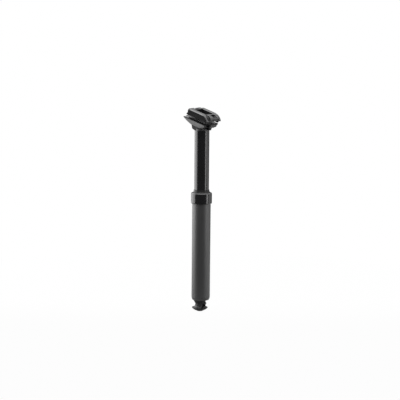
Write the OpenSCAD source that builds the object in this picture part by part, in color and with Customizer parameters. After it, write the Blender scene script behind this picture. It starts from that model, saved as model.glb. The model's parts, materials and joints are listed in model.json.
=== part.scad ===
// Dropper seatpost: a sliding post with a gas spring, a two-bolt saddle clamp
// and a cable rocker at its foot.
// The origin lies on the post's axis at the underside of the collar.
// X points to the front of the bicycle, Z points up along the post.

/* [Tubes] */
// Outside diameter of the lower tube
tube_d = 31.6; // [30.8:0.1:34.9]
// Wall of the lower tube
tube_wall = 2.3; // [2.1:0.1:2.6]
// Height of the lower tube's tapered end
end_h = 5; // [3:0.5:6]
// Depth of the lower tube's tapered end
end_w = 1.5; // [0.8:0.1:1.7]
// Outside diameter of the stanchion
stanchion_d = 25; // [24.4:0.1:25.2]
// Wall of the stanchion
stanchion_wall = 2; // [1.8:0.1:2.4]
// Length that the saddle drops
travel = 100; // [60:5:150]
// Length of stanchion below the collar when the post is up
overlap = 50; // [48:1:70]
// Room under the head when the post is down
drop_gap = 0.7; // [0.5:0.1:3]

/* [Collar] */
// Step of the collar outside the lower tube
collar_step = 2; // [1.6:0.1:4]
// Height of the collar
collar_h = 19; // [17:0.5:26]
// Height of the collar's bevelled edges
collar_bevel = 1.6; // [0.5:0.1:2.2]
// Width of the collar's bevelled edges
collar_bevel_w = 0.9; // [0.3:0.1:1]
// Depth of the tube's threaded neck below its outside
thread_cut = 0.8; // [0.5:0.1:1.1]
// Length of the tube's threaded neck
thread_l = 12; // [9:0.5:13]
// Height of the wiper above the collar
wiper_h = 5; // [3:0.5:7]
// Height of the collar's lip over the wiper
collar_lip = 3; // [2:0.5:4]
// Width of the wiper's flange under the collar's lip
wiper_flange = 0.8; // [0.4:0.1:1]

/* [Bushings and keys] */
// Length of the upper bushing below the collar
upper_bush_l = 22; // [16:1:22]
// Length of the lower bushing
lower_bush_l = 10; // [6:0.5:11]
// Depth of the lower bushing's seat in the stanchion
bush_seat = 0.5; // [0.2:0.1:0.7]
// Height of the rubber rings that stop the stroke
bumper_h = 2; // [1:0.5:3]
// Length of a guide key
key_l = 10; // [6:0.5:11]
// Width of a guide key
key_w = 3; // [2:0.1:4]
// Depth of a key's pocket in the stanchion
key_pocket = 1.2; // [0.8:0.1:1.4]
// Depth of a key groove in the lower tube
key_groove = 1; // [0.5:0.1:1.2]
// Number of guide keys
key_n = 3; // [2:1:4]

/* [Head] */
// Slope of the head against the post, nose down
head_tilt = 20; // [12:1:22]
// Height of the tilt axis above the top of the stanchion
tilt_rise = 19.4; // [19:0.1:24]
// Radius of the trough that the cradle rocks in
seat_r = 13; // [11.5:0.1:13.4]
// Width of the head across the bicycle
head_w = 22.4; // [18:0.1:23]
// Reach of each bolt ear from the tilt axis
ear_reach = 24.4; // [24:0.1:28]
// Depth of the ears' top below the rails
ear_top = 1.6; // [1.2:0.1:2.2]
// Height of the ears' blunt ends
ear_nose = 3.2; // [2:0.1:4]
// Length of the spigot inside the stanchion
spigot_l = 18; // [12:1:30]

/* [Saddle clamp] */
// Diameter of the saddle rails
rail_d = 7; // [6.5:0.1:8]
// Distance between the saddle rails
rail_pitch = 44; // [43:0.5:46]
// Gap between the clamp halves
clamp_gap = 2.4; // [1.6:0.1:3]
// Wall outside each rail groove
jaw_lip = 1; // [0.6:0.1:2]
// Width of each jaw of the upper clamp
jaw_w = 11; // [9.5:0.1:12]
// Height of the jaws above the rails
jaw_h = 13.4; // [12.8:0.1:14]
// Width of the bevel along the jaws' top edges
jaw_bevel = 1.6; // [1:0.1:3]
// Height of the jaws' outer lip above the rails' axis
jaw_lip_z = 3; // [2:0.1:3.2]
// Depth of the cradle's outer lip below the rails' axis
cradle_lip_z = 2; // [1.4:0.1:2.6]
// Rear end of the jaws from the tilt axis
jaw_rear = 19; // [18:0.5:22]
// Rake of the jaws' rear end
jaw_rake = 3.6; // [2:0.1:4.4]
// Front end of the jaws from the tilt axis
jaw_front = 22; // [20:0.5:24]
// Front end of the jaws' flat top
jaw_flat = 6; // [2:0.5:8]
// Radius of the jaws' rounded front
jaw_round = 19.2; // [17.5:0.1:24]
// Rear end of the cradle from the tilt axis
cradle_rear = 22; // [20:0.5:24]
// Front end of the cradle from the tilt axis
cradle_front = 19; // [17:0.5:23]
// Height of the cradle's upright outer face
cradle_lip = 1.2; // [0.8:0.1:2]
// Depth of the cradle's wings below the rails
wing_depth = 13; // [10:0.1:13.4]
// Width of the wings' lower edge
wing_foot = 3.2; // [2:0.1:5]
// Radius of the wings' curved underside
wing_round = 27.5; // [26:0.5:32]

/* [Clamp bolts] */
// Diameter of the clamp bolts
bolt_d = 5; // [4.5:0.1:5.2]
// Distance between the clamp bolts
bolt_pitch = 36; // [35:0.1:38]
// Length of a bolt above its half-moon washer
bolt_l = 19.5; // [18.5:0.5:21]
// Diameter of the bolt heads
bolt_head_d = 8; // [7.4:0.1:8.4]
// Height of the bolt heads
bolt_head_h = 4.5; // [3:0.1:4.8]
// Width of the hexagon key
hex_af = 4; // [3:0.5:4]
// Radius of a half-moon washer
moon_r = 4; // [3.8:0.1:4.2]
// Distance of the bolts' pivots below the rails and of the nuts above them
pivot_h = 7.6; // [7.4:0.1:8.4]
// Diameter of the barrel nuts
nut_d = 8; // [7:0.1:8.4]
// Length of the barrel nuts
nut_l = 14; // [10:0.5:18]
// Wall of the bridges round the nuts
bridge_wall = 0.9; // [0.8:0.1:1.2]

/* [Gas spring] */
// Outside diameter of the gas tube
gas_d = 18; // [17:0.1:19]
// Wall of the gas tube
gas_wall = 1.5; // [1.2:0.1:1.8]
// Height of the gas tube's end above the stanchion's end
gas_inset = 4; // [2:0.5:6]
// Diameter of the piston rod
rod_d = 8; // [7:0.1:8.6]
// Bore of the piston rod
rod_bore = 3.2; // [2.6:0.1:3.6]
// Height of the rod gland
gland_h = 8; // [6:0.5:10]
// Height of the snap ring
snap_h = 1.2; // [1:0.1:2]
// Height of the piston
piston_h = 8; // [6:0.5:10]
// Height of the piston's nut
piston_nut_h = 4; // [3:0.5:5]
// Height of the floating piston
float_h = 8; // [6:0.5:9]
// Height of the gas tube's cap
cap_h = 8; // [7:0.5:10]
// Section of the round seal rings
ring_d = 1.6; // [1.2:0.1:1.8]
// Diameter of the anchor screw
anchor_d = 6; // [5:0.5:6]
// Diameter of the anchor screw's head
anchor_head_d = 10; // [8.5:0.5:10]
// Height of the anchor screw's head
anchor_head_h = 4; // [3:0.5:4.5]

/* [Actuator] */
// Length of the plug in the lower tube
plug_l = 13.6; // [10:0.2:16]
// Radius of the neck under the tube
neck_r = 8.6; // [8.4:0.1:9]
// Height of the tapered shoulder
shoulder_h = 7; // [6:0.5:8]
// Radius of the shoulder where it meets the plug
shoulder_r = 11.6; // [11:0.1:11.6]
// Radius of the bell's rim
bell_r = 13.4; // [13:0.1:13.8]
// Shift of the shoulder and the bell towards the rear
bell_shift = 1.5; // [0.8:0.1:1.6]
// Height of the rim below the tube's end
rim_drop = 13.6; // [13.2:0.1:15]
// Depth of the bell's rounded underside
bell_crown = 5.4; // [5:0.1:6]
// Radius of the bell's flat bottom
bell_flat = 4.4; // [3:0.1:6]
// Radius of the hollow above the bell's rim
flare_r = 5.6; // [5:0.1:6]
// Thickness of the rocker lever
rocker_t = 5.4; // [4.8:0.1:6]
// Distance of the rocker's pivot from the valve pin
nose_arm = 3; // [2.8:0.1:3.2]
// Distance of the cable barrel from the pivot
cable_arm = 3.9; // [3.8:0.1:4.2]
// Radius of the rocker's nose
nose_r = 2; // [1.6:0.1:2.2]
// Wall of the rocker round the barrel
barrel_wall = 0.9; // [0.8:0.1:1]
// Diameter of the cable barrel
barrel_d = 3.8; // [3.6:0.1:4]
// Diameter of the pivot pin
pin_d = 2.4; // [2:0.1:2.4]
// Swing of the rocker
rocker_swing = 20; // [10:1:20]
// Diameter of the cable housing
housing_d = 5; // [4:0.1:5]
// Wall of the boss round the cable housing
boss_wall = 1.4; // [1:0.1:1.6]
// Diameter of the inner cable
cable_d = 1.6; // [1.2:0.1:1.8]
// Width of the window over the cable slot
window_w = 3.4; // [3:0.1:3.6]
// Floor of the cable housing's socket
socket_floor = 1.4; // [1:0.1:2]

/* [Clearances] */
// Radial play of bonded and screwed joints
bond_play = 0.05; // [0.02:0.01:0.1]
// Radial play of sliding and turning pieces
run_play = 0.05; // [0.03:0.01:0.1]
// Radial play between a bolt and its barrel nut
thread_play = 0.3; // [0.25:0.05:0.4]
// Side play between parts that pass each other
side_play = 0.4; // [0.3:0.1:0.8]

/* [Hidden] */
$fn = 96;
far = 200;
eps = 0.01;

// Lower tube and stanchion
tube_r = tube_d / 2;
tube_in = tube_r - tube_wall;
thread_r = tube_r - thread_cut;
collar_r = tube_r + collar_step;
stanchion_r = stanchion_d / 2;
stanchion_in = stanchion_r - stanchion_wall;
foot_z = -overlap;
plug_top = foot_z - travel - side_play - bumper_h;
tube_end = plug_top - plug_l;
seam_z = collar_h + wiper_h + travel + drop_gap;

// Bushings, keys and stops
bumper_z = -upper_bush_l - bumper_h;
key_top = bumper_z - side_play;
groove_r = tube_in + key_groove;
key_in = stanchion_r - key_pocket;

// Gas spring
gas_r = gas_d / 2;
gas_in = gas_r - gas_wall;
rod_r = rod_d / 2;
gas_foot = foot_z + gas_inset;
gland_z = gas_foot + snap_h;
piston_z = gland_z + gland_h + side_play;
piston_nut_z = piston_z + piston_h;
rod_top = piston_nut_z + piston_nut_h;
gas_top = seam_z - spigot_l;
float_ratio = pow(rod_r / gas_in, 2);
float_gap = 2;
float_z = rod_top + travel * (1 - float_ratio) + float_gap;
ring_r = ring_d / 2;
screw_seat = 0.5;
screw_grip = 6;

// Saddle clamp, measured from the tilt axis
tilt_z = seam_z + tilt_rise;
rail_y = rail_pitch / 2;
half_gap = clamp_gap / 2;
jaw_out = rail_y + rail_d / 2 + jaw_lip;
jaw_in = jaw_out - jaw_w;
wing_in = head_w / 2 + side_play;
bolt_x = bolt_pitch / 2;
bolt_r = bolt_d / 2;
nut_r = nut_d / 2;
bridge_r = nut_r + bridge_wall;
bridge_in = bolt_x - nut_r - 2.5;
keel = 1.5;
hex_depth = 2.6;
swing_room = 1.1;
neck_h = 3;
flare = 1.3;
ear_cut = 0.6;

// Actuator
slot_drop = 3;
slot_roof = tube_end - slot_drop;
rocker_top = 0.7;
rocker_z = slot_roof - barrel_d / 2 - barrel_wall - rocker_top;
barrel_r = barrel_d / 2;
hub_wall = 1.2;
hub_r = pin_d / 2 + hub_wall;
end_r = barrel_r + barrel_wall;
cable_x = nose_arm + cable_arm;
cable_dip = cable_arm * sin(rocker_swing);
slot_floor = rocker_z - end_r - cable_dip - side_play;
slot_half = rocker_t / 2 + side_play;
slot_rear = nose_r + 2 * side_play;
rim_z = tube_end - rim_drop;
rim_edge = 1;
bell_foot = rim_z - rim_edge - bell_crown;
pin_gap = 0.1;
valve_foot = rocker_z + nose_r + pin_gap;
valve_play = 0.15;
valve_r = rod_bore / 2 - valve_play;
valve_room = 3;
rod_foot = tube_end + 1;

// Shared shapes

// Ring about the post's axis, between two heights
module ring(outer, inner, low, high) {
    translate([0, 0, low]) difference() {
        cylinder(r = outer, h = high - low);
        translate([0, 0, -eps]) cylinder(r = inner, h = high - low + 2 * eps);
    }
}

// Disc about the post's axis, between two heights
module disc(radius, low, high) {
    translate([0, 0, low]) cylinder(r = radius, h = high - low);
}

// Round ring of seal section about the post's axis
module seal_ring(middle, height) {
    translate([0, 0, height]) rotate_extrude() translate([middle, 0]) circle(r = ring_r, $fn = 32);
}

// Groove for a seal ring, about its middle height
module seal_groove(inner, outer, height) {
    ring(outer, inner, height - ring_r - run_play, height + ring_r + run_play);
}

// Bar across the bicycle, at a place seen from the side
module cross_bar(x, z, radius, length) {
    translate([x, 0, z]) rotate([90, 0, 0]) cylinder(r = radius, h = length, center = true);
}

// Side outline spread evenly across the bicycle
module spread(width) {
    rotate([90, 0, 0]) linear_extrude(height = width, center = true) children();
}

// Frame of the clamp: its origin is on the tilt axis and its X follows the rails
module on_clamp() {
    translate([0, 0, tilt_z]) rotate([0, head_tilt, 0]) children();
}

module both_sides() {
    children();
    mirror([0, 1, 0]) children();
}

// Hexagon hole for a key, open at the top
module hex_hole(across, depth) {
    translate([0, 0, -depth]) cylinder(d = across / cos(30), h = depth + eps, $fn = 6);
}

// Lower post

module lower_tube() {
    color("#2c2c2e") difference() {
        union() {
            rotate_extrude() polygon([
                [tube_in, tube_end],
                [tube_r - end_w, tube_end],
                [tube_r - 0.4 * end_w, tube_end + 0.4 * end_h],
                [tube_r, tube_end + end_h],
                [tube_r, 0],
                [thread_r, 0],
                [thread_r, thread_l],
                [tube_in, thread_l]
            ]);
        }
        for (i = [0 : key_n - 1]) rotate([0, 0, 360 / key_n * i])
            translate([0, -key_w / 2 - run_play, plug_top])
                cube([groove_r + run_play, key_w + 2 * run_play, bumper_z - plug_top]);
    }
}

module seal_collar() {
    thread_in = thread_r + bond_play;
    lip_in = thread_in - wiper_flange;
    lip_z = collar_h - collar_lip;
    color("#17171a") rotate_extrude() polygon([
        [thread_in, 0],
        [collar_r - collar_bevel_w, 0],
        [collar_r, collar_bevel],
        [collar_r, collar_h - collar_bevel],
        [collar_r - collar_bevel_w, collar_h],
        [lip_in, collar_h],
        [lip_in, lip_z],
        [thread_in, lip_z]
    ]);
}

module wiper_seal() {
    lip_in = stanchion_r + run_play;
    flange_r = thread_r;
    neck = flange_r - wiper_flange;
    top = collar_h + wiper_h;
    lip_z = collar_h - collar_lip;
    taper = 0.5;
    color("#0d0d0d") rotate_extrude() polygon([
        [lip_in, thread_l],
        [flange_r, thread_l],
        [flange_r, lip_z],
        [neck, lip_z],
        [neck, collar_h + 0.2 * wiper_h],
        [neck - taper, collar_h + 0.4 * wiper_h],
        [lip_in + taper, top],
        [lip_in, top]
    ]);
}

module stanchion_seal() {
    color("#202020")
        ring(tube_in - bond_play, stanchion_r + run_play, thread_l - ring_d, thread_l);
}

module upper_bushing() {
    color("#8a8378")
        ring(tube_in - bond_play, stanchion_r + run_play, -upper_bush_l, thread_l - ring_d);
}

module top_out_bumper() {
    color("#202020") ring(tube_in - bond_play, stanchion_r + run_play, bumper_z, -upper_bush_l);
}

module bottom_out_bumper() {
    color("#202020") ring(tube_in - bond_play, rod_r + side_play, plug_top, plug_top + bumper_h);
}

// Bell of the housing: a shoulder and a hollow-flared foot set back to the rear,
// a neck between them and a boss for the cable housing
module bell_shape() {
    disc(tube_in - bond_play, tube_end, plug_top);
    disc(neck_r, rim_z, tube_end);
    translate([cable_x, 0, 0]) disc(housing_d / 2 + run_play + boss_wall, rim_z, slot_floor - side_play);
    translate([-bell_shift, 0, 0]) {
        translate([0, 0, tube_end - shoulder_h])
            cylinder(r1 = neck_r - bell_shift / 2, r2 = shoulder_r, h = shoulder_h);
        translate([0, 0, rim_z]) rotate_extrude() polygon(concat(
            [
                [0, -rim_edge - bell_crown],
                [bell_flat, -rim_edge - bell_crown],
                [0.76 * bell_r, -rim_edge - 0.5 * bell_crown],
                [bell_r, -rim_edge]
            ],
            [for (turn = [0 : 30 : 90]) [bell_r - flare_r * sin(turn), flare_r * (1 - cos(turn))]],
            [[0, flare_r]]
        ));
    }
}

module actuator_housing() {
    color("#2a2a2c") difference() {
        bell_shape();
        disc(rod_r + bond_play, rod_foot, plug_top + eps);
        disc(rod_bore / 2, slot_roof - eps, rod_foot + eps);
        translate([-slot_rear, -slot_half, slot_floor])
            cube([far, 2 * slot_half, slot_roof - slot_floor]);
        cross_bar(nose_arm, rocker_z, pin_d / 2 + bond_play, far);
        translate([cable_x - window_w / 2, -far, slot_floor])
            cube([window_w, far, rocker_z - slot_floor]);
        translate([cable_x, 0, bell_foot - far]) {
            cylinder(d = housing_d + 2 * run_play, h = slot_floor - socket_floor - bell_foot + far);
            cylinder(d = cable_d + 2 * side_play, h = far + slot_floor - bell_foot + eps);
        }
        translate([cable_x - cable_d / 2 - side_play, -far, bell_foot - far])
            cube([cable_d + 2 * side_play, far, far + slot_floor - bell_foot + eps]);
    }
}

module rocker_pin() {
    half = sqrt(pow(neck_r, 2) - pow(nose_arm + pin_d / 2, 2));
    color("#b9bcc0") cross_bar(nose_arm, rocker_z, pin_d / 2, 2 * half);
}

// Gas spring, fixed half

module piston_rod() {
    color("#c9ccd0") difference() {
        disc(rod_r, rod_foot, rod_top);
        disc(rod_bore / 2, rod_foot - eps, piston_nut_z);
    }
}

module piston() {
    color("#a8abaf") difference() {
        ring(gas_in - run_play, rod_r + bond_play, piston_z, piston_nut_z);
        seal_groove(gas_in - ring_d - 2 * run_play, far, piston_z + piston_h / 2);
    }
}

module piston_ring() {
    color("#161616") seal_ring(gas_in - ring_r - run_play, piston_z + piston_h / 2);
}

module piston_nut() {
    color("#b0b3b7") difference() {
        translate([0, 0, piston_nut_z]) cylinder(r = gas_in - 1, h = piston_nut_h, $fn = 6);
        disc(rod_r + bond_play, piston_nut_z - eps, rod_top + eps);
    }
}

// Upper post

module key_blocks(inner, outer, width, low, high) {
    for (i = [0 : key_n - 1]) rotate([0, 0, 360 / key_n * i])
        translate([inner, -width / 2, low]) cube([outer - inner, width, high - low]);
}

module stanchion() {
    color("#101012") difference() {
        ring(stanchion_r, stanchion_in, foot_z, seam_z);
        ring(far, stanchion_r - bush_seat, foot_z + 1, foot_z + 1 + lower_bush_l);
        key_blocks(key_in, far, key_w + 2 * bond_play, key_top - key_l - bond_play, key_top);
    }
}

module lower_bushing() {
    color("#8a8378") difference() {
        ring(tube_in - run_play, stanchion_r - bush_seat + bond_play, foot_z + 1, foot_z + 1 + lower_bush_l);
        translate([0, -0.5, foot_z]) cube([far, 1, lower_bush_l + 2]);
    }
}

module guide_keys() {
    color("#c2a34f") key_blocks(key_in + bond_play, groove_r - run_play, key_w - run_play, key_top - key_l, key_top);
}

// A point of the post's side view, given in the clamp's frame
function to_clamp(x, z) = [
    x * cos(head_tilt) - (z - tilt_z) * sin(head_tilt),
    x * sin(head_tilt) + (z - tilt_z) * cos(head_tilt)
];

// Forged body of the head before it is bored: a flared neck under a bar with two ears
module head_body() {
    flank_top = bolt_x - moon_r;
    ear_foot = bolt_x + moon_r - ear_cut;
    disc(stanchion_r, seam_z, seam_z + neck_h);
    intersection() {
        on_clamp() spread(head_w) polygon([
            to_clamp(-stanchion_r, seam_z),
            to_clamp(stanchion_r, seam_z),
            [flank_top, -pivot_h],
            [-flank_top, -pivot_h]
        ]);
        translate([0, 0, seam_z])
            cylinder(r1 = stanchion_r - eps, r2 = stanchion_r + flare * tilt_rise, h = tilt_rise);
    }
    on_clamp() spread(head_w) polygon([
        [-ear_reach, -ear_top],
        [ear_reach, -ear_top],
        [ear_reach, -ear_top - ear_nose],
        [ear_foot, -pivot_h],
        [-ear_foot, -pivot_h],
        [-ear_reach, -ear_top - ear_nose]
    ]);
}

module head() {
    relief_r = bolt_head_d / 2 + 2 * side_play;
    relief_h = bolt_head_h + 2 * side_play;
    color("#3a3a3c") difference() {
        union() {
            head_body();
            disc(stanchion_in - bond_play, gas_top, seam_z + neck_h);
        }
        on_clamp() cross_bar(0, 0, seat_r + run_play, far);
        on_clamp() for (side = [-1, 1]) {
            cross_bar(side * bolt_x, -pivot_h, moon_r + run_play, far);
            translate([side * bolt_x, 0, -pivot_h]) cylinder(r = bolt_r + swing_room, h = far);
            translate([side * bolt_x, 0, -pivot_h - relief_h]) cylinder(r = relief_r, h = relief_h);
        }
        disc(anchor_d / 2 + bond_play, gas_top - eps, tilt_z);
        disc(anchor_head_d / 2 + bond_play, seam_z + screw_seat, tilt_z);
    }
}

module anchor_screw() {
    top = seam_z + screw_seat + anchor_head_h;
    color("#6f7276") difference() {
        union() {
            disc(anchor_d / 2, gas_top - screw_grip, top);
            disc(anchor_head_d / 2, seam_z + screw_seat, top);
        }
        translate([0, 0, top]) hex_hole(hex_af, hex_depth);
    }
}

module gas_tube() {
    color("#7d8084") ring(gas_r, gas_in, gas_foot, gas_top);
}

module gas_tube_cap() {
    color("#a8abaf") difference() {
        disc(gas_in - bond_play, gas_top - cap_h, gas_top);
        disc(anchor_d / 2 + bond_play, gas_top - screw_grip, gas_top + eps);
    }
}

module rod_gland() {
    color("#a8abaf") difference() {
        ring(gas_in - bond_play, rod_r + run_play, gland_z, gland_z + gland_h);
        seal_groove(rod_r - eps, rod_r + ring_d + 2 * run_play, gland_z + gland_h / 2);
    }
}

module rod_seal() {
    color("#161616") seal_ring(rod_r + ring_r + run_play, gland_z + gland_h / 2);
}

module gland_snap_ring() {
    color("#b9bcc0") difference() {
        ring(gas_in - bond_play, rod_r + 1.2, gas_foot, gland_z);
        translate([0, -1.5, gas_foot - eps]) cube([far, 3, snap_h + 2 * eps]);
    }
}

module floating_piston() {
    color("#a8abaf") difference() {
        disc(gas_in - run_play, float_z, float_z + float_h);
        disc(gas_in - 3, float_z + float_h / 2 + ring_d, float_z + float_h + eps);
        seal_groove(gas_in - ring_d - 2 * run_play, far, float_z + float_h / 2);
    }
}

module floating_piston_ring() {
    color("#161616") seal_ring(gas_in - ring_r - run_play, float_z + float_h / 2);
}

// Saddle clamp

module rail_grooves() {
    both_sides() translate([0, rail_y, 0]) rotate([0, 90, 0]) cylinder(d = rail_d, h = far, center = true);
}

// One wing of the cradle: a boat-shaped side whose lower face leans inwards
module cradle_wing() {
    intersection() {
        translate([-cradle_rear, 0, 0]) rotate([90, 0, 90])
            linear_extrude(height = cradle_rear + cradle_front) polygon([
            [wing_in, -half_gap],
            [rail_y, -half_gap],
            [rail_y, -cradle_lip_z],
            [jaw_out, -cradle_lip_z],
            [jaw_out, -cradle_lip_z - cradle_lip],
            [wing_in + wing_foot, -wing_depth],
            [wing_in, -wing_depth]
        ]);
        cross_bar(0, wing_round - wing_depth - keel, wing_round, far);
    }
}

module lower_cradle() {
    pocket_wall = 4;
    pocket = seat_r - pocket_wall;
    color("#242426") on_clamp() difference() {
        union() {
            intersection() {
                cross_bar(0, 0, seat_r, 2 * wing_in + 2);
                translate([-far, -far, -far - half_gap]) cube([2 * far, 2 * far, far]);
            }
            both_sides() cradle_wing();
        }
        rail_grooves();
        translate([-pocket, -pocket, -pocket / 2 - half_gap]) cube([2 * pocket, 2 * pocket, pocket]);
    }
}

// Side outline of a jaw: flat top, rounded front, raked rear
module jaw_outline() {
    step = 1;
    difference() {
        intersection() {
            union() {
                translate([-jaw_rear, half_gap]) square([jaw_rear + jaw_flat, jaw_h - half_gap]);
                translate([jaw_flat, jaw_h - jaw_round]) circle(r = jaw_round);
            }
            translate([-jaw_rear, half_gap]) square([jaw_rear + jaw_front, jaw_h]);
        }
        polygon([
            [-jaw_rear, jaw_lip_z],
            [-jaw_rear + jaw_rake, jaw_h],
            [-jaw_rear + jaw_rake, jaw_h + step],
            [-jaw_rear - step, jaw_h + step],
            [-jaw_rear - step, jaw_lip_z]
        ]);
    }
}

// One jaw: its side outline, with both top edges bevelled and a raised outer lip
module jaw() {
    intersection() {
        translate([0, jaw_in + jaw_w / 2, 0]) spread(jaw_w) jaw_outline();
        rotate([90, 0, 90]) linear_extrude(height = far, center = true) polygon([
            [jaw_in, half_gap],
            [rail_y, half_gap],
            [rail_y, jaw_lip_z],
            [jaw_out, jaw_lip_z],
            [jaw_out, jaw_h - jaw_bevel],
            [jaw_out - jaw_bevel, jaw_h],
            [jaw_in + jaw_bevel / 2, jaw_h],
            [jaw_in, jaw_h - jaw_bevel / 2]
        ]);
    }
}

// Bridge between the jaws, with a round end about its barrel nut
module bridge(side) {
    spread(2 * jaw_in + 2) {
        translate([side * bolt_x, pivot_h]) circle(r = bridge_r);
        translate([side > 0 ? bridge_in : -bolt_x, pivot_h - bridge_r + 1])
            square([bolt_x - bridge_in, jaw_h - pivot_h + bridge_r - 1]);
    }
}

module upper_clamp() {
    color("#1e1e20") on_clamp() difference() {
        union() {
            both_sides() jaw();
            bridge(-1);
            bridge(1);
        }
        rail_grooves();
        for (side = [-1, 1]) {
            cross_bar(side * bolt_x, pivot_h, nut_r + run_play, nut_l + 2 * side_play);
            translate([side * bolt_x, 0, 0]) cylinder(r = bolt_r + swing_room, h = far);
            translate([side * bolt_x - nut_r - run_play, -nut_l / 2 - side_play, pivot_h])
                cube([nut_d + 2 * run_play, nut_l + 2 * side_play, far]);
        }
    }
}

module clamp_bolt(side) {
    color("#303134") on_clamp() translate([side * bolt_x, 0, -pivot_h]) difference() {
        union() {
            translate([0, 0, -bolt_head_h]) cylinder(d = bolt_head_d, h = bolt_head_h);
            cylinder(d = bolt_d, h = bolt_l);
        }
        translate([0, 0, -bolt_head_h]) mirror([0, 0, 1]) hex_hole(hex_af, hex_depth);
    }
}

module half_moon(side) {
    color("#55585c") on_clamp() difference() {
        intersection() {
            cross_bar(side * bolt_x, -pivot_h, moon_r, head_w - 4);
            translate([-far, -far, -pivot_h]) cube([2 * far, 2 * far, far]);
        }
        translate([side * bolt_x, 0, -pivot_h - eps]) cylinder(r = bolt_r + bond_play, h = far);
    }
}

module barrel_nut(side) {
    color("#55585c") on_clamp() difference() {
        cross_bar(side * bolt_x, pivot_h, nut_r, nut_l);
        translate([side * bolt_x, 0, 0]) cylinder(r = bolt_r + thread_play, h = far);
    }
}

module front_bolt() { clamp_bolt(1); }
module rear_bolt() { clamp_bolt(-1); }
module front_half_moon() { half_moon(1); }
module rear_half_moon() { half_moon(-1); }
module front_barrel_nut() { barrel_nut(1); }
module rear_barrel_nut() { barrel_nut(-1); }

// Actuator

module rocker_lever() {
    color("#9a9da1") difference() {
        union() {
            cross_bar(0, rocker_z, nose_r, rocker_t);
            cross_bar(nose_arm, rocker_z, hub_r, rocker_t);
            cross_bar(cable_x, rocker_z, end_r, rocker_t);
            translate([0, -rocker_t / 2, rocker_z - nose_r]) cube([nose_arm, rocker_t, 2 * nose_r]);
            translate([nose_arm, -rocker_t / 2, rocker_z - hub_r])
                cube([cable_arm, rocker_t, 2 * hub_r]);
        }
        cross_bar(nose_arm, rocker_z, pin_d / 2 + run_play, far);
        cross_bar(cable_x, rocker_z, barrel_r + run_play, far);
        translate([cable_x - cable_d / 2 - side_play, -far / 2, rocker_z - far])
            cube([cable_d + 2 * side_play, far / 2 + cable_d / 2 + side_play, far]);
    }
}

module cable_barrel() {
    color("#c2a34f") difference() {
        cross_bar(cable_x, rocker_z, barrel_r, rocker_t);
        translate([cable_x, 0, rocker_z]) cylinder(d = cable_d + 0.2, h = far, center = true);
        translate([cable_x, -cable_d / 2, rocker_z]) rotate([90, 0, 0])
            cylinder(r = barrel_r / 2 + bond_play, h = far);
    }
}

module barrel_screw() {
    length = (rocker_t - cable_d) / 2 - 0.3;
    color("#303134") translate([cable_x, -rocker_t / 2, rocker_z]) rotate([90, 0, 0]) difference() {
        translate([0, 0, -length]) cylinder(r = barrel_r / 2, h = length);
        hex_hole(barrel_r / 2, length / 2);
    }
}

module valve_pin() {
    color("#c9ccd0") disc(valve_r, valve_foot, piston_nut_z - valve_room);
}

lower_tube();
seal_collar();
wiper_seal();
stanchion_seal();
upper_bushing();
top_out_bumper();
bottom_out_bumper();
actuator_housing();
rocker_pin();
piston_rod();
piston();
piston_ring();
piston_nut();
stanchion();
head();
lower_bushing();
guide_keys();
gas_tube();
gas_tube_cap();
rod_gland();
rod_seal();
gland_snap_ring();
anchor_screw();
floating_piston();
floating_piston_ring();
lower_cradle();
upper_clamp();
front_bolt();
rear_bolt();
front_half_moon();
rear_half_moon();
front_barrel_nut();
rear_barrel_nut();
rocker_lever();
cable_barrel();
barrel_screw();
valve_pin();
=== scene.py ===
# %% [markdown]
# # A dropper seatpost
# A dropper post carries a bicycle saddle and can be lowered while riding. This lesson dresses
# the finished CAD model: it rounds edges, cuts threads, paints finishes and lights the result.
# The CAD model is loaded first and is never moved, so every new piece is built in its place.

# %% Load the model
import json
import math
import bpy
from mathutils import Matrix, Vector

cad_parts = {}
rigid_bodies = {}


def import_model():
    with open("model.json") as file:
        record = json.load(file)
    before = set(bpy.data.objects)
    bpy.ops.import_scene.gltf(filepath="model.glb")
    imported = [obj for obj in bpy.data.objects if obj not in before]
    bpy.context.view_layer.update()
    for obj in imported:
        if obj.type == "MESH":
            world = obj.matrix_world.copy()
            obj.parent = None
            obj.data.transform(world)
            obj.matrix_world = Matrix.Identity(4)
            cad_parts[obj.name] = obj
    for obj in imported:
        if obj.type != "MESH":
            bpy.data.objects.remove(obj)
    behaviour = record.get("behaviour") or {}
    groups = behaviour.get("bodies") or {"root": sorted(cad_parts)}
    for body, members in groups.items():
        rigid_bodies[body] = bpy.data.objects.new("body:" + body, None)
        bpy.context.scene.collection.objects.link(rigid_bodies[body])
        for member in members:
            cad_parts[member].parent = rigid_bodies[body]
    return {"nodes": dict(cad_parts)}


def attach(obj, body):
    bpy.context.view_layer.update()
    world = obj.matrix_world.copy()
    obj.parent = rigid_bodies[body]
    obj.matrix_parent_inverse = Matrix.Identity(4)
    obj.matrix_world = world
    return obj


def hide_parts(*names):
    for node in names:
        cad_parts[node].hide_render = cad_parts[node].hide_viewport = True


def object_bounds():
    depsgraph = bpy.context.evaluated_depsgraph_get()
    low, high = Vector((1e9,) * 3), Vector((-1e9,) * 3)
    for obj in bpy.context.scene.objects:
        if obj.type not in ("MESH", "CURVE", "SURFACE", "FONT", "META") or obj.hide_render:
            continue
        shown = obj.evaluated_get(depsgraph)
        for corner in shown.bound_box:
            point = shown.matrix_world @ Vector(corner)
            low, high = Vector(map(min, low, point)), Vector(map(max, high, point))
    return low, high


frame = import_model()
cad_box = [list(corner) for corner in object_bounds()]
nodes = frame["nodes"]
print("nodes:", len(nodes), "box:", cad_box)

# %% [markdown]
# ## Sizes that several cells share
# The saddle clamp leans nose down. Its own origin is the tilt axis, high on the post, so pieces
# of the clamp are made upright at the world's origin and then leaned and lifted in one move.

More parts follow.
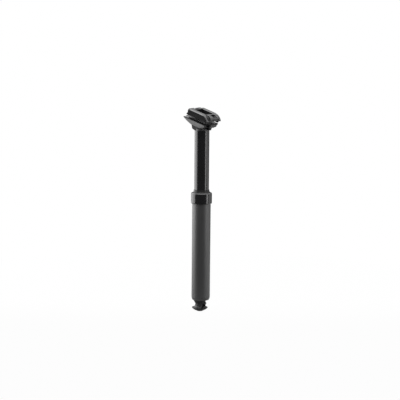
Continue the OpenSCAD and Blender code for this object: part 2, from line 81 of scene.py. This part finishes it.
# %% Shared sizes
MM = 0.001
CLAMP_LEAN = math.radians(20)
TILT_AXIS_Z = 144.1 * MM
BOLT_X = 18 * MM
PIVOT_DROP = 7.6 * MM
BOLT_LENGTH = 19.5 * MM
BOLT_RADIUS = 2.5 * MM
BOLT_HEAD_RADIUS = 4 * MM
BOLT_HEAD_HEIGHT = 4.5 * MM
SOCKET_HALF_WIDTH = 2 * MM
SOCKET_CUT = 5.2 * MM
THREAD_PITCH = 0.8 * MM
THREAD_START = 4.6 * MM
SHANK_LENGTH = 5 * MM
SHANK_OVERLAP = 0.2 * MM
WELD_DISTANCE = 0.000002
print("tilt axis at", TILT_AXIS_Z, "m")


# %% [markdown]
# ## Small helpers for modelling
# Operators act on everything that is selected, so each step starts by clearing the selection.
# Applying an object's place writes it into the mesh, which keeps patterns from sliding.

# %% Selection and placing
def only(thing):
    """Selects one object and makes it active."""
    bpy.ops.object.select_all(action="DESELECT")
    thing.select_set(True)
    bpy.context.view_layer.objects.active = thing


def settle(thing):
    """Writes an object's place into its mesh."""
    only(thing)
    bpy.ops.object.transform_apply(location=True, rotation=True, scale=True)


def apply_modifier(thing, kind, **settings):
    """Adds a modifier, sets it and applies it."""
    only(thing)
    modifier = thing.modifiers.new(kind.title(), kind)
    for key, value in settings.items():
        setattr(modifier, key, value)
    bpy.ops.object.modifier_apply(modifier=modifier.name)


def soften(thing, degrees):
    """Smooth shading that stops at corners."""
    only(thing)
    bpy.ops.object.shade_smooth_by_angle(angle=math.radians(degrees))


bpy.ops.object.select_all(action="DESELECT")
print("helpers ready")


# %% [markdown]
# ## Writing materials as expressions
# Shader nodes are easier to read as sums. The class below wraps one socket. Adding or
# multiplying two of them makes a Math node, and one method makes any other node.

# %% The socket class
class Wire:
    """One value in a node tree, which can be added and multiplied."""

    def __init__(self, tree, socket=None):
        self.tree = tree
        self.socket = socket

    def node(self, kind, settings=None, sockets=None, output=0):
        made = self.tree.nodes.new(kind)
        for key, value in (settings or {}).items():
            setattr(made, key, value)
        for key, value in (sockets or {}).items():
            if isinstance(value, Wire):
                self.tree.links.new(value.socket, made.inputs[key])
            else:
                made.inputs[key].default_value = value
        return Wire(self.tree, made.outputs[output] if made.outputs else None)

    def sum(self, operation, first, second):
        return self.node("ShaderNodeMath", {"operation": operation}, {0: first, 1: second})

    def __add__(self, other):
        return self.sum("ADD", self, other)

    def __radd__(self, other):
        return self.sum("ADD", other, self)

    def __mul__(self, other):
        return self.sum("MULTIPLY", self, other)

    def __rmul__(self, other):
        return self.sum("MULTIPLY", other, self)


def blank(name):
    """A new material with an empty tree, and a Wire to build in it."""
    material = bpy.data.materials.new(name)
    material.use_nodes = True
    material.node_tree.nodes.clear()
    return material, Wire(material.node_tree)


def place(wire, stretch):
    """Object coordinates, stretched along each axis."""
    where = wire.node("ShaderNodeTexCoord", output="Object")
    return wire.node("ShaderNodeMapping", sockets={"Vector": where, "Scale": stretch})


def noise(wire, where, scale, detail=3.0):
    return wire.node(
        "ShaderNodeTexNoise", sockets={"Vector": where, "Scale": scale, "Detail": detail}
    )


def blend(wire, factor, low, high):
    """A colour between two others."""
    return wire.node(
        "ShaderNodeMix",
        {"data_type": "RGBA"},
        {0: factor, 6: (*low, 1), 7: (*high, 1)},
        output=2,
    )


def surface(wire, sockets):
    """The Principled shader, wired to the output."""
    shader = wire.node("ShaderNodeBsdfPrincipled", sockets=sockets)
    wire.node("ShaderNodeOutputMaterial", sockets={"Surface": shader})


print("material class ready")

# %% [markdown]
# ## Gloss black anodising
# The stanchion is ground and polished before it is anodised black, and the collar is turned and
# polished. Both mirror the studio sharply. Faint hairlines run round the tube, so the noise is
# stretched flat: fine along the axis, long across it.

# %% Gloss black
gloss_black, wire = blank("gloss_black_anodised")
lines = noise(wire, place(wire, (40, 40, 2600)), 1.0, 2.0)
cloud = noise(wire, place(wire, (90, 90, 30)), 1.0)
surface(wire, {
    "Base Color": blend(wire, cloud, (0.004, 0.004, 0.0045), (0.011, 0.011, 0.012)),
    "Roughness": 0.14 + 0.05 * lines + 0.04 * cloud,
    "IOR": 1.6,
    "Specular IOR Level": 0.6,
})
print(gloss_black.name)

# %% [markdown]
# ## Satin black anodising
# The lower tube and the head are bead blasted before they are anodised, which breaks the
# reflection into a soft gradient. A very fine bump stands for the blasted grain.

# %% Satin black
satin_black, wire = blank("satin_black_anodised")
grain = noise(wire, place(wire, (1, 1, 1)), 3200.0, 2.0)
cloud = noise(wire, place(wire, (60, 60, 25)), 1.0)
surface(wire, {
    "Base Color": blend(wire, cloud, (0.006, 0.006, 0.0064), (0.011, 0.011, 0.0114)),
    "Roughness": 0.43 + 0.06 * grain + 0.04 * cloud,
    "IOR": 1.85,
    "Specular IOR Level": 0.62,
    "Normal": wire.node(
        "ShaderNodeBump", sockets={"Strength": 0.12, "Distance": 0.00002, "Height": grain}
    ),
})
print(satin_black.name)

# %% [markdown]
# ## Dull black
# The housing at the foot and its rocker are duller than the tube: a dense black with a low,
# broad shine. Fine noise breaks the shine up.

# %% Dull black
dull_black, wire = blank("dull_black_anodised")
grain = noise(wire, place(wire, (1, 1, 1)), 2600.0, 2.0)
surface(wire, {
    "Base Color": blend(wire, grain, (0.017, 0.017, 0.0174), (0.028, 0.028, 0.0284)),
    "Roughness": 0.34 + 0.1 * grain,
    "Specular IOR Level": 0.35,
})
print(dull_black.name)

# %% [markdown]
# ## Forged black
# Both halves of the clamp are forged aluminium, shot peened and anodised. The peening leaves
# shallow dimples that are larger than the blasted grain of the tube.

# %% Forged black
forged_black, wire = blank("forged_black")
dimples = wire.node(
    "ShaderNodeTexVoronoi", sockets={"Vector": place(wire, (1, 1, 1)), "Scale": 1900.0}
)
cloud = noise(wire, place(wire, (120, 120, 120)), 1.0)
surface(wire, {
    "Base Color": blend(wire, cloud, (0.006, 0.006, 0.0063), (0.012, 0.012, 0.0125)),
    "Roughness": 0.17 + 0.06 * dimples + 0.05 * cloud,
    "IOR": 1.9,
    "Specular IOR Level": 0.65,
    "Normal": wire.node(
        "ShaderNodeBump", sockets={"Strength": 0.1, "Distance": 0.00003, "Height": dimples}
    ),
})
print(forged_black.name)

# %% [markdown]
# ## Black rubber
# The wiper and the inner seals are oiled nitrile rubber: very dark, with a soft wet shine that
# dulls wherever dust has settled.

# %% Rubber
black_rubber, wire = blank("black_rubber")
dust = noise(wire, place(wire, (1, 1, 1)), 900.0)
surface(wire, {
    "Base Color": blend(wire, dust, (0.004, 0.004, 0.004), (0.012, 0.012, 0.0115)),
    "Roughness": 0.2 + 0.14 * dust,
    "Specular IOR Level": 0.24,
})
print(black_rubber.name)

# %% [markdown]
# ## Bushing plastic
# The bushings are a filled sliding plastic with specks of dry lubricant in it.

# %% Bushing plastic
bush_plastic, wire = blank("bush_plastic")
specks = noise(wire, place(wire, (1, 1, 1)), 2400.0)
surface(wire, {
    "Base Color": blend(wire, specks, (0.13, 0.115, 0.09), (0.3, 0.27, 0.22)),
    "Roughness": 0.5 + 0.15 * specks,
})
print(bush_plastic.name)

# %% [markdown]
# ## Brass
# The guide keys are brass. Milling leaves fine parallel lines.

# %% Brass
key_brass, wire = blank("milled_brass")
lines = noise(wire, place(wire, (300, 300, 5200)), 1.0, 1.0)
surface(wire, {
    "Base Color": blend(wire, lines, (0.52, 0.34, 0.11), (0.72, 0.52, 0.2)),
    "Metallic": 1.0,
    "Roughness": 0.24 + 0.16 * lines,
})
print(key_brass.name)

# %% [markdown]
# ## Black oxide steel
# Bolts, half-moon washers, barrel nuts and the small steel of the rocker have a thin black
# oxide, which wears to grey.

# %% Black oxide steel
bolt_steel, wire = blank("black_oxide_steel")
wear = noise(wire, place(wire, (1, 1, 1)), 700.0)
surface(wire, {
    "Base Color": blend(wire, wear, (0.035, 0.035, 0.038), (0.12, 0.12, 0.125)),
    "Metallic": 0.9,
    "Roughness": 0.28 + 0.16 * wear,
})
print(bolt_steel.name)

# %% [markdown]
# ## Turned aluminium
# The gas spring is bare aluminium from a lathe. The turning marks are rings
# about the post's axis, so the noise is squeezed along Z.

# %% Turned aluminium
spring_alloy, wire = blank("turned_aluminium")
rings = noise(wire, place(wire, (60, 60, 6000)), 1.0, 1.0)
surface(wire, {
    "Base Color": blend(wire, rings, (0.42, 0.42, 0.43), (0.62, 0.62, 0.63)),
    "Metallic": 1.0,
    "Roughness": 0.26 + 0.14 * rings,
})
print(spring_alloy.name)

# %% [markdown]
# ## Bright steel
# The piston rod, the valve pin and the snap ring are ground steel.

# %% Bright steel
bright_steel, wire = blank("ground_steel")
lines = noise(wire, place(wire, (500, 500, 4000)), 1.0, 1.0)
surface(wire, {
    "Base Color": blend(wire, lines, (0.55, 0.56, 0.57), (0.72, 0.72, 0.73)),
    "Metallic": 1.0,
    "Roughness": 0.12 + 0.1 * lines,
})
print(bright_steel.name)

# %% [markdown]
# ## Finishes on the CAD pieces
# Every node takes the finish of its real piece. Inner pieces are painted too, because the model
# may be opened or moved later.

# %% Paint the nodes
FINISHES = [
    ("gloss_black_tube", gloss_black, ["stanchion", "seal_collar"]),
    ("satin_black_tube", satin_black, ["lower_tube"]),
    ("satin_black_tube", dull_black, ["actuator_housing", "rocker_lever"]),
    ("forged_black", satin_black, ["head"]),
    ("forged_black", forged_black, ["lower_cradle", "upper_clamp"]),
    ("black_rubber", black_rubber, [
        "wiper_seal", "stanchion_seal", "top_out_bumper", "bottom_out_bumper",
        "piston_ring", "rod_seal", "floating_piston_ring",
    ]),
    ("bush_plastic", bush_plastic, ["upper_bushing", "lower_bushing"]),
    ("key_brass", key_brass, ["guide_keys"]),
    ("bolt_steel", bolt_steel, [
        "front_bolt", "rear_bolt", "front_half_moon", "rear_half_moon",
        "front_barrel_nut", "rear_barrel_nut", "anchor_screw", "barrel_screw", "piston_nut",
        "cable_barrel", "rocker_pin",
    ]),
    ("spring_alloy", spring_alloy, [
        "piston", "gas_tube", "gas_tube_cap", "rod_gland", "floating_piston",
    ]),
    ("bright_steel", bright_steel, ["piston_rod", "valve_pin", "gland_snap_ring"]),
]
SLOT_OF = {}
for slot_name, finish, names in FINISHES:
    for name in names:
        SLOT_OF[name] = slot_name
        nodes[name].data.materials.clear()
        nodes[name].data.materials.append(finish)
unpainted = [name for name in nodes if name not in SLOT_OF]
print("painted:", len(SLOT_OF), "left:", unpainted)

# %% [markdown]
# ## Rounded edges
# A real edge is never perfectly sharp: it catches light as a thin line. A copy of a CAD node is
# welded, its flat faces are joined again, and a bevel rounds every corner. A held bevel stops
# before faces overlap, so short edges on the head, cradle and housing keep theirs very fine.
# Large faces then set the shading of their corners, so that flat stays flat. The copy stands in
# for the node on the same body.

# %% Round the edges of a node
FLAT_ANGLE = math.radians(0.4)
SMOOTH_DEGREES = 40


def rounded(node, body, width, degrees=28, held=True):
    """Replaces a node by a copy whose corners above an angle are bevelled."""
    only(nodes[node])
    bpy.ops.object.duplicate()
    copy = bpy.context.view_layer.objects.active
    copy.name = node + "_rounded"
    bpy.ops.object.parent_clear(type="CLEAR_KEEP_TRANSFORM")
    bpy.ops.object.mode_set(mode="EDIT")
    bpy.ops.mesh.select_all(action="SELECT")
    bpy.ops.mesh.remove_doubles(threshold=WELD_DISTANCE)
    bpy.ops.mesh.dissolve_limited(angle_limit=FLAT_ANGLE)
    bpy.ops.object.mode_set(mode="OBJECT")
    apply_modifier(
        copy, "BEVEL", width=width, segments=2, limit_method="ANGLE",
        angle_limit=math.radians(degrees), use_clamp_overlap=held, harden_normals=False,
    )
    soften(copy, SMOOTH_DEGREES)
    apply_modifier(copy, "WEIGHTED_NORMAL", mode="FACE_AREA", weight=50, keep_sharp=True)
    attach(copy, body)
    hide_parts(node)
    print(copy.name, len(copy.data.polygons), "faces")


rounded("upper_clamp", "top_clamp", 0.3 * MM, held=False)
rounded("lower_cradle", "cradle", 0.6 * MM)
rounded("head", "upper_post", 0.6 * MM)
rounded("actuator_housing", "lower_post", 0.4 * MM)
rounded("seal_collar", "lower_post", 0.3 * MM)
rounded("lower_tube", "lower_post", 0.25 * MM, degrees=50)

# %% [markdown]
# ## Threaded clamp bolts
# The CAD bolts are plain rods. A thread is a V that climbs as it turns: a diamond of four points
# loses its inner one, and the Screw modifier sweeps the rest. A turn too many at each end is cut
# off flat. The head is a cylinder with a hexagon socket, and the shank below the thread is plain.

# %% Thread, shank and head
def thread_rod(low, high, crest):
    """A threaded rod along Z between two heights."""
    depth = THREAD_PITCH / 2
    turns = math.ceil((high - low) / THREAD_PITCH) + 2
    bpy.ops.object.select_all(action="DESELECT")
    bpy.ops.mesh.primitive_circle_add(
        vertices=4, radius=depth, rotation=(math.pi / 2, 0, 0),
        location=(crest - depth, 0, low - THREAD_PITCH),
    )
    rod = bpy.context.object
    settle(rod)
    inner = min(rod.data.vertices, key=lambda point: point.co.x).index
    for point in rod.data.vertices:
        point.select = point.index == inner
    bpy.ops.object.mode_set(mode="EDIT")
    bpy.ops.mesh.delete(type="VERT")
    bpy.ops.object.mode_set(mode="OBJECT")
    apply_modifier(
        rod, "SCREW", axis="Z", screw_offset=THREAD_PITCH, iterations=turns,
        steps=24, render_steps=24, use_merge_vertices=True, merge_threshold=WELD_DISTANCE,
    )
    bpy.ops.object.mode_set(mode="EDIT")
    for height, above in ((low, False), (high, True)):
        bpy.ops.mesh.select_all(action="SELECT")
        bpy.ops.mesh.remove_doubles(threshold=WELD_DISTANCE)
        bpy.ops.mesh.bisect(
            plane_co=(0, 0, height), plane_no=(0, 0, 1), use_fill=True,
            clear_outer=above, clear_inner=not above,
        )
    bpy.ops.mesh.select_all(action="SELECT")
    bpy.ops.mesh.normals_make_consistent(inside=False)
    bpy.ops.object.mode_set(mode="OBJECT")
    soften(rod, 25)
    return rod


def rod_piece(low, high, radius, bevel):
    """A plain round piece along Z with rounded ends."""
    bpy.ops.object.select_all(action="DESELECT")
    bpy.ops.mesh.primitive_cylinder_add(
        vertices=48, radius=radius, depth=high - low, location=(0, 0, (low + high) / 2)
    )
    piece = bpy.context.object
    settle(piece)
    apply_modifier(piece, "BEVEL", width=bevel, segments=3, limit_method="ANGLE")
    return piece


def clamp_bolt(node, body, side):
    """A bolt with socket head, shank and thread, leaned into its place in the clamp."""
    head = rod_piece(-BOLT_HEAD_HEIGHT, 0, BOLT_HEAD_RADIUS, bevel=0.4 * MM)
    bpy.ops.object.select_all(action="DESELECT")
    bpy.ops.mesh.primitive_cylinder_add(
        vertices=6, radius=SOCKET_HALF_WIDTH / math.cos(math.pi / 6), depth=SOCKET_CUT,
        location=(0, 0, -BOLT_HEAD_HEIGHT),
    )
    key = bpy.context.object
    settle(key)
    apply_modifier(head, "BOOLEAN", object=key, operation="DIFFERENCE", solver="EXACT")
    bpy.data.objects.remove(key)
    soften(head, 35)
    shank = rod_piece(-SHANK_OVERLAP, SHANK_LENGTH, BOLT_RADIUS, bevel=0.3 * MM)
    soften(shank, 35)
    thread = thread_rod(THREAD_START, BOLT_LENGTH, BOLT_RADIUS)
    only(head)
    shank.select_set(True)
    thread.select_set(True)
    bpy.ops.object.join()
    head.name = node + "_threaded"
    head.rotation_euler = (0, CLAMP_LEAN, 0)
    head.location = (
        side * BOLT_X * math.cos(CLAMP_LEAN) - PIVOT_DROP * math.sin(CLAMP_LEAN),
        0,
        TILT_AXIS_Z - side * BOLT_X * math.sin(CLAMP_LEAN) - PIVOT_DROP * math.cos(CLAMP_LEAN),
    )
    settle(head)
    head.data.materials.clear()
    head.data.materials.append(bolt_steel)
    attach(head, body)
    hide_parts(node)
    print(head.name, len(head.data.polygons), "faces")


clamp_bolt("front_bolt", "bolt_front", 1)
clamp_bolt("rear_bolt", "bolt_rear", -1)

# %% [markdown]
# ## The camera
# The photograph was taken with a long lens, a little above the collar and from the front right
# of the bicycle. The camera is placed by two angles and a distance, then rolled by half a degree.

# %% Camera
AZIMUTH = math.radians(27)
ELEVATION = math.radians(7)
DISTANCE = 2.2
ROLL = math.radians(0.48)
LENS = 116.2
AIM_HEIGHT = 6 * MM
AIM_SHIFT = 2.5 * MM
right = Vector((math.cos(AZIMUTH), math.sin(AZIMUTH), 0))
back = Vector((
    math.sin(AZIMUTH) * math.cos(ELEVATION),
    -math.cos(AZIMUTH) * math.cos(ELEVATION),
    math.sin(ELEVATION),
))
aim = Vector((0, 0, AIM_HEIGHT)) - AIM_SHIFT * right
bpy.ops.object.camera_add(location=aim + DISTANCE * back)
camera = bpy.context.object
camera.name = "photo_camera"
camera.rotation_euler = (-back).to_track_quat("-Z", "Y").to_euler()
camera.rotation_euler.rotate_axis("Z", ROLL)
camera.data.sensor_width = 36
camera.data.lens = LENS
bpy.context.scene.camera = camera
print("camera at", tuple(round(value, 3) for value in camera.location))


# %% [markdown]
# ## Studio light
# Black gloss shows little but reflections. A wide softbox stands to the left and reaches behind
# the post, so its picture runs down the left edge. A narrow strip on the right draws the thin
# line there, and a weak glow behind it lifts the right edge. Between them the room stays dark.

# %% Lamps
def lamp(name, turn, height, distance, wide, tall, power):
    """An area lamp, turned from the camera's side, that looks at the post."""
    angle = AZIMUTH + turn
    stand = Vector((math.sin(angle), -math.cos(angle), 0)) * distance
    stand.z = height
    bpy.ops.object.light_add(type="AREA", location=stand)
    made = bpy.context.object
    made.name = name
    made.data.shape = "RECTANGLE"
    made.data.size = wide
    made.data.size_y = tall
    made.data.energy = power
    made.rotation_euler = (Vector((0, 0, 0)) - stand).to_track_quat("-Z", "Y").to_euler()
    made.visible_camera = False
    print(name, power, "W")


lamp("left_softbox", math.radians(-112), height=0.25, distance=1.3, wide=1.9, tall=1.6, power=26)
lamp("right_strip", math.radians(66), height=0.2, distance=1.4, wide=0.36, tall=1.6, power=5.5)
lamp("right_glow", math.radians(105), height=0.2, distance=1.5, wide=1.2, tall=1.6, power=5)

# %% [markdown]
# ## World and floor
# The backdrop is pure white to the camera. For everything else the world is dim at eye height, so
# that the black parts keep their depth. A brighter patch overhead, on the camera's side, stands
# for a softbox on a boom: the bevels that face up and forward mirror it.

# %% World
world = bpy.data.worlds.new("studio")
bpy.context.scene.world = world
world.use_nodes = True
world.node_tree.nodes.clear()
wire = Wire(world.node_tree)
seen = wire.node("ShaderNodeLightPath", output="Is Camera Ray")
direction = wire.node("ShaderNodeTexCoord", output="Generated")
height = wire.node("ShaderNodeSeparateXYZ", sockets={"Vector": direction}, output="Z")
dome = wire.node(
    "ShaderNodeMapRange",
    {"interpolation_type": "SMOOTHSTEP"},
    {"Value": height, "From Min": 0.05, "From Max": 0.75, "To Min": 0.07, "To Max": 1.4},
)
overhead = wire.node(
    "ShaderNodeMapRange",
    {"interpolation_type": "SMOOTHSTEP"},
    {"Value": height, "From Min": 0.62, "From Max": 0.8, "To Min": 0.0, "To Max": 2.2},
)
nearness = wire.node(
    "ShaderNodeVectorMath",
    {"operation": "DOT_PRODUCT"},
    {0: direction, 1: (math.sin(AZIMUTH), -math.cos(AZIMUTH), 0)},
    output="Value",
)
near_half = wire.node(
    "ShaderNodeMapRange",
    {"interpolation_type": "SMOOTHSTEP"},
    {"Value": nearness, "From Min": 0.0, "From Max": 0.2},
)
sky = dome + overhead * near_half
dim = wire.node("ShaderNodeBackground", sockets={"Color": (1, 1, 1, 1), "Strength": sky})
white = wire.node("ShaderNodeBackground", sockets={"Color": (1, 1, 1, 1), "Strength": 1.0})
mixed = wire.node("ShaderNodeMixShader", sockets={0: seen, 1: dim, 2: white})
wire.node("ShaderNodeOutputWorld", sockets={"Surface": mixed})
bpy.context.scene.view_settings.view_transform = "Standard"
print(world.name)

# %% [markdown]
# The floor is a stage piece. The camera sees it almost white, and the post mirrors it. Its matt
# colour
# is painted light and shade by place: painted shade in front, so that the tube's middle stays
# black, and painted light under and behind the post.

# %% Floor
FLOOR_RADIUS = 0.62
FLOOR_GAP = 0.5 * MM
bpy.ops.object.select_all(action="DESELECT")
bpy.ops.mesh.primitive_circle_add(
    vertices=96, radius=FLOOR_RADIUS, fill_type="NGON",
    location=(0, 0, cad_box[0][2] - FLOOR_GAP),
)
floor = bpy.context.object
floor.name = "studio_floor"
settle(floor)
floor_white, wire = blank("floor_white")
path = wire.node("ShaderNodeLightPath", output="Is Camera Ray")
glow = wire.node("ShaderNodeEmission", sockets={"Color": (1, 1, 1, 1), "Strength": 1.0})
spot = wire.node("ShaderNodeTexCoord", output="Object")
away = wire.node(
    "ShaderNodeVectorMath",
    {"operation": "DOT_PRODUCT"},
    {0: spot, 1: (-math.sin(AZIMUTH), math.cos(AZIMUTH), 0)},
    output="Value",
)
# Painted light and shade: the matt colour is dark on the camera's side as painted shade and
# lighter behind the post as painted light.
painted_light_mask = wire.node(
    "ShaderNodeMapRange", {"interpolation_type": "SMOOTHSTEP"},
    {"Value": away, "From Min": -0.14, "From Max": 0.1},
)
painted_floor_light = blend(wire, painted_light_mask, (0.04, 0.04, 0.04), (0.44, 0.44, 0.44))
matt = wire.node("ShaderNodeBsdfDiffuse", sockets={"Color": painted_floor_light})
both = wire.node("ShaderNodeMixShader", sockets={0: 0.98 * path, 1: matt, 2: glow})
wire.node("ShaderNodeOutputMaterial", sockets={"Surface": both})
floor.data.materials.append(floor_white)
print("floor at", cad_box[0][2])
